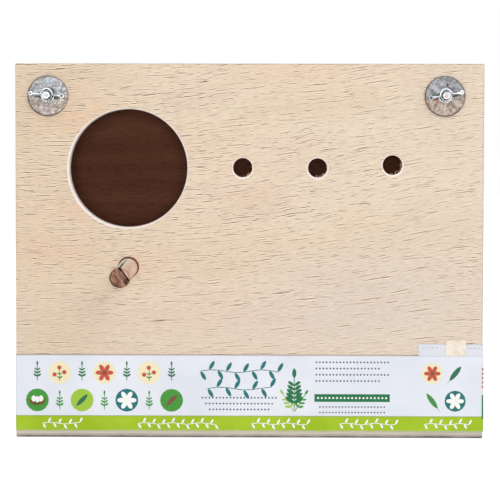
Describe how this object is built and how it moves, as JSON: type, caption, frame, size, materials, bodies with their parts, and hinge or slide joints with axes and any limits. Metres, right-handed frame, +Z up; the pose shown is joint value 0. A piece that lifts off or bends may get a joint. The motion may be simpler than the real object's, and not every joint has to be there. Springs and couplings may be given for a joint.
{
  "type": "lovebird nest box",
  "caption": "Plywood nest box with a round entry, vent holes, a dowel perch, a hinged lid, a hollowed nest board, and bolts with wing nuts that hang it on cage wires.",
  "frame": {"origin": "middle of the floor board's underside", "axes": "+Z up, +X to the right as seen from in front, -Y out of the front board, the way the perch points"},
  "size_m": [0.2558, 0.2443, 0.2032],
  "materials": {
    "pale_ply": "bare sanded cream veneer with short dark pores",
    "brown_ply": "bare brown hardwood veneer with raw edges",
    "dowel_wood": "bare dowel, sawn and chipped at its end",
    "pine": "bare planed pine",
    "zinc": "bright zinc plating",
    "washer_steel": "scuffed zinc plating",
    "hinge_steel": "rolled zinc-plated sheet",
    "brad_steel": "bare drawn wire",
    "paper": "smooth printed paper",
    "tape": "cream masking tape"
  },
  "bodies": {
    "box": {"front_board": "pale_ply", "back_board": "brown_ply", "left_side_board": "brown_ply", "right_side_board": "brown_ply", "floor_board": "brown_ply", "nest_board": "pine", "perch_dowel": "dowel_wood", "left_hanging_bolt": "zinc", "right_hanging_bolt": "zinc", "left_hinge_fixed_leaf": "hinge_steel", "left_hinge_fixed_leaf_screw_1": "hinge_steel", "left_hinge_fixed_leaf_screw_2": "hinge_steel", "left_hinge_pin": "hinge_steel", "right_hinge_fixed_leaf": "hinge_steel", "right_hinge_fixed_leaf_screw_1": "hinge_steel", "right_hinge_fixed_leaf_screw_2": "hinge_steel", "right_hinge_pin": "hinge_steel", "front_brad_left_1": "brad_steel", "front_brad_left_2": "brad_steel", "front_brad_left_3": "brad_steel", "front_brad_right_1": "brad_steel", "front_brad_right_2": "brad_steel", "front_brad_right_3": "brad_steel", "back_brad_left_1": "brad_steel", "back_brad_left_2": "brad_steel", "back_brad_left_3": "brad_steel", "back_brad_right_1": "brad_steel", "back_brad_right_2": "brad_steel", "back_brad_right_3": "brad_steel", "floor_brad_left_1": "brad_steel", "floor_brad_left_2": "brad_steel", "floor_brad_left_3": "brad_steel", "floor_brad_right_1": "brad_steel", "floor_brad_right_2": "brad_steel", "floor_brad_right_3": "brad_steel", "floor_brad_front_1": "brad_steel", "floor_brad_front_2": "brad_steel", "floor_brad_back_1": "brad_steel", "floor_brad_back_2": "brad_steel", "paper_band": "paper", "tape_piece": "tape"},
    "opening_lid": {"lid": "brown_ply", "left_hinge_lid_leaf": "hinge_steel", "left_hinge_lid_leaf_screw_1": "hinge_steel", "left_hinge_lid_leaf_screw_2": "hinge_steel", "right_hinge_lid_leaf": "hinge_steel", "right_hinge_lid_leaf_screw_1": "hinge_steel", "right_hinge_lid_leaf_screw_2": "hinge_steel"},
    "left_washer": {"left_wide_washer": "washer_steel"},
    "left_nut": {"left_wing_nut": "zinc"},
    "right_washer": {"right_wide_washer": "washer_steel"},
    "right_nut": {"right_wing_nut": "zinc"}
  },
  "joints": [
    {"name": "lid_hinge", "type": "hinge", "parent": "box", "child": "opening_lid", "pos_m": [0, 0.0912, 0.19335], "axis": [-1, 0, 0], "range_deg": [0, 190]},
    {"name": "left_washer_slide", "type": "slide", "parent": "box", "child": "left_washer", "axis": [0, -1, 0], "range_m": [0, 0.0075]},
    {"name": "left_nut_turn", "type": "hinge", "parent": "left_washer", "child": "left_nut", "pos_m": [-0.1092, -0.094, 0.1856], "axis": [0, -1, 0], "range_deg": [0, 3857.15]},
    {"name": "right_washer_slide", "type": "slide", "parent": "box", "child": "right_washer", "axis": [0, -1, 0], "range_m": [0, 0.0075]},
    {"name": "right_nut_turn", "type": "hinge", "parent": "right_washer", "child": "right_nut", "pos_m": [0.1057, -0.094, 0.1856], "axis": [0, -1, 0], "range_deg": [0, 3857.15]}
  ],
  "couplings": [
    {"joint": "left_nut_turn", "follows": "left_washer_slide", "rad_per_m": 8976},
    {"joint": "right_nut_turn", "follows": "right_washer_slide", "rad_per_m": 8976}
  ]
}
